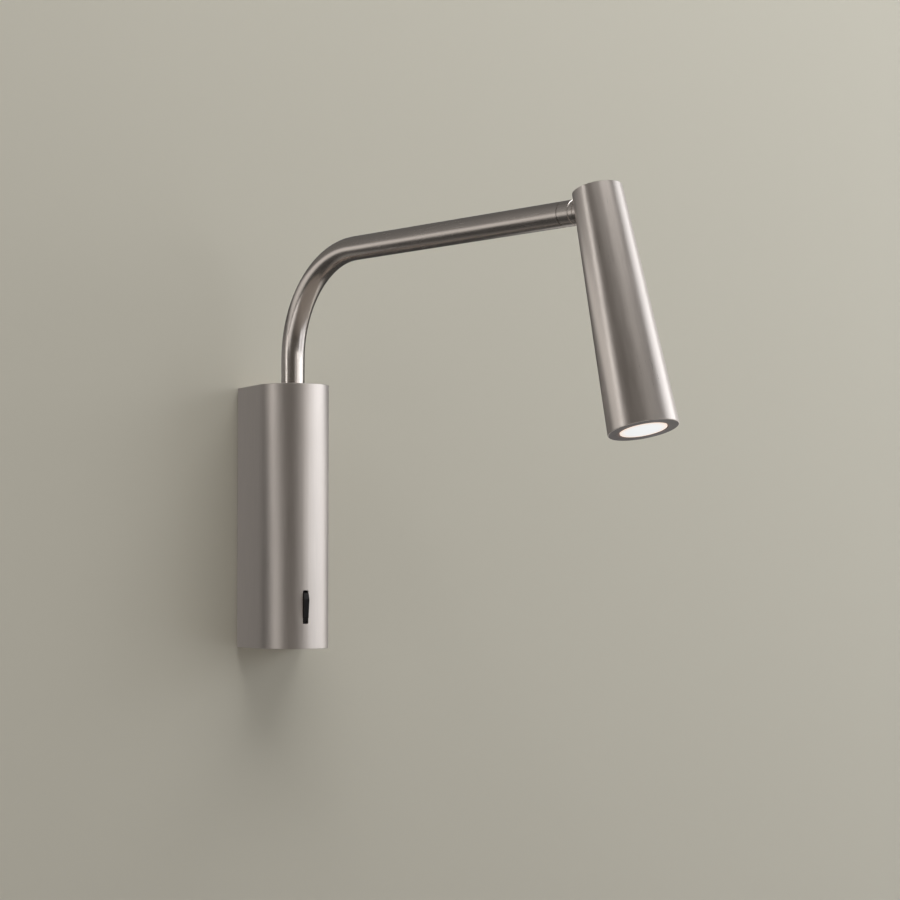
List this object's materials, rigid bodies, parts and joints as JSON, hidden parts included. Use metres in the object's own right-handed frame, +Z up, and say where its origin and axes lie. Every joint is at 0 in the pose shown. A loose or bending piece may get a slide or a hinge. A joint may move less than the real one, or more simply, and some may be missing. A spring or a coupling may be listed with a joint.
{
  "type": "wall reading lamp",
  "caption": "Bedside wall reading lamp: brushed D-section column with a rocker switch, swivelling bent tube arm, and a turning and tilting tapered spotlight head.",
  "frame": {"origin": "on the wall plane, at the middle of the column's height and width", "axes": "+X right along the wall seen from the room, +Y into the wall, +Z up"},
  "size_m": [0.0994, 0.2986, 0.2126],
  "materials": {
    "brushed_nickel": "satin nickel, brushed along each piece",
    "zinc_steel": "bright zinc plate",
    "spring_steel": "oiled hardened steel",
    "brass": "turned",
    "aluminium": "turned",
    "bearing_plastic": "turned acetal",
    "black_plastic": "fine moulded grain",
    "pale_plastic": "moulded",
    "lead_sheath": "smooth sheath",
    "rubber": "moulded",
    "dark_ring": "dark satin",
    "lit_lens": "frosted, lit warm white",
    "clear_optic": "clear moulded optic",
    "led_phosphor": "phosphor coating"
  },
  "bodies": {
    "column": {"wall_plate": "zinc_steel", "cable_grommet": "rubber", "earth_screw": "zinc_steel", "earth_washer": "zinc_steel", "terminal_block": "pale_plastic", "terminal_screws": "brass", "block_fixing_screw": "zinc_steel", "column_shell": "brushed_nickel", "column_top_cap": "brushed_nickel", "column_bottom_cap": "brushed_nickel", "column_fixing_screw": "spring_steel", "driver_tray": "zinc_steel", "led_driver": "pale_plastic", "driver_screws": "zinc_steel", "driver_connector": "pale_plastic", "supply_leads": "lead_sheath", "switch_leads": "lead_sheath", "switch_holder": "pale_plastic", "switch_housing": "black_plastic", "switch_blades": "brass", "swivel_bush_upper": "bearing_plastic", "swivel_bush_lower": "bearing_plastic", "swivel_stop_pin": "spring_steel"},
    "rocker": {"switch_rocker": "black_plastic"},
    "arm": {"support_ring": "spring_steel", "thrust_washer": "bearing_plastic", "disc_spring": "spring_steel", "swivel_collar": "zinc_steel", "collar_grub_screw": "spring_steel", "arm_tube": "brushed_nickel", "arm_wires": "lead_sheath", "arm_end_insert": "brass"},
    "knuckle": {"knuckle_sleeve": "brushed_nickel", "turn_stop_pin": "spring_steel", "turn_wave_washer": "spring_steel", "turn_clip": "spring_steel", "knuckle_spacer": "brushed_nickel", "tilt_tongue": "brushed_nickel"},
    "head": {"head_shell": "brushed_nickel", "head_top_cap": "brushed_nickel", "head_yoke": "aluminium", "tilt_pin": "spring_steel", "tilt_washers": "bearing_plastic", "spacer_tube": "aluminium", "heat_sink": "aluminium", "led_board": "aluminium", "led_chip": "led_phosphor", "board_screws": "zinc_steel", "beam_optic": "clear_optic", "front_lens": "lit_lens", "lens_ring": "dark_ring", "head_wires": "lead_sheath"}
  },
  "joints": [
    {"name": "switch_rock", "type": "hinge", "parent": "column", "child": "rocker", "pos_m": [0, -0.0468, -0.0463], "axis": [1, 0, 0], "range_deg": [-14, 0]},
    {"name": "arm_swivel", "type": "hinge", "parent": "column", "child": "arm", "pos_m": [0, -0.032, 0.0675], "axis": [0, 0, 1], "range_deg": [-104.5, 75.5]},
    {"name": "head_turn", "type": "hinge", "parent": "arm", "child": "knuckle", "pos_m": [0.05821, -0.25709, 0.1335], "axis": [0.2504, -0.9681, 0], "range_deg": [-165, 165]},
    {"name": "head_tilt", "type": "hinge", "parent": "knuckle", "child": "head", "pos_m": [0.05821, -0.25709, 0.1335], "axis": [-0.9681, -0.2504, 0], "range_deg": [-30, 30]}
  ]
}
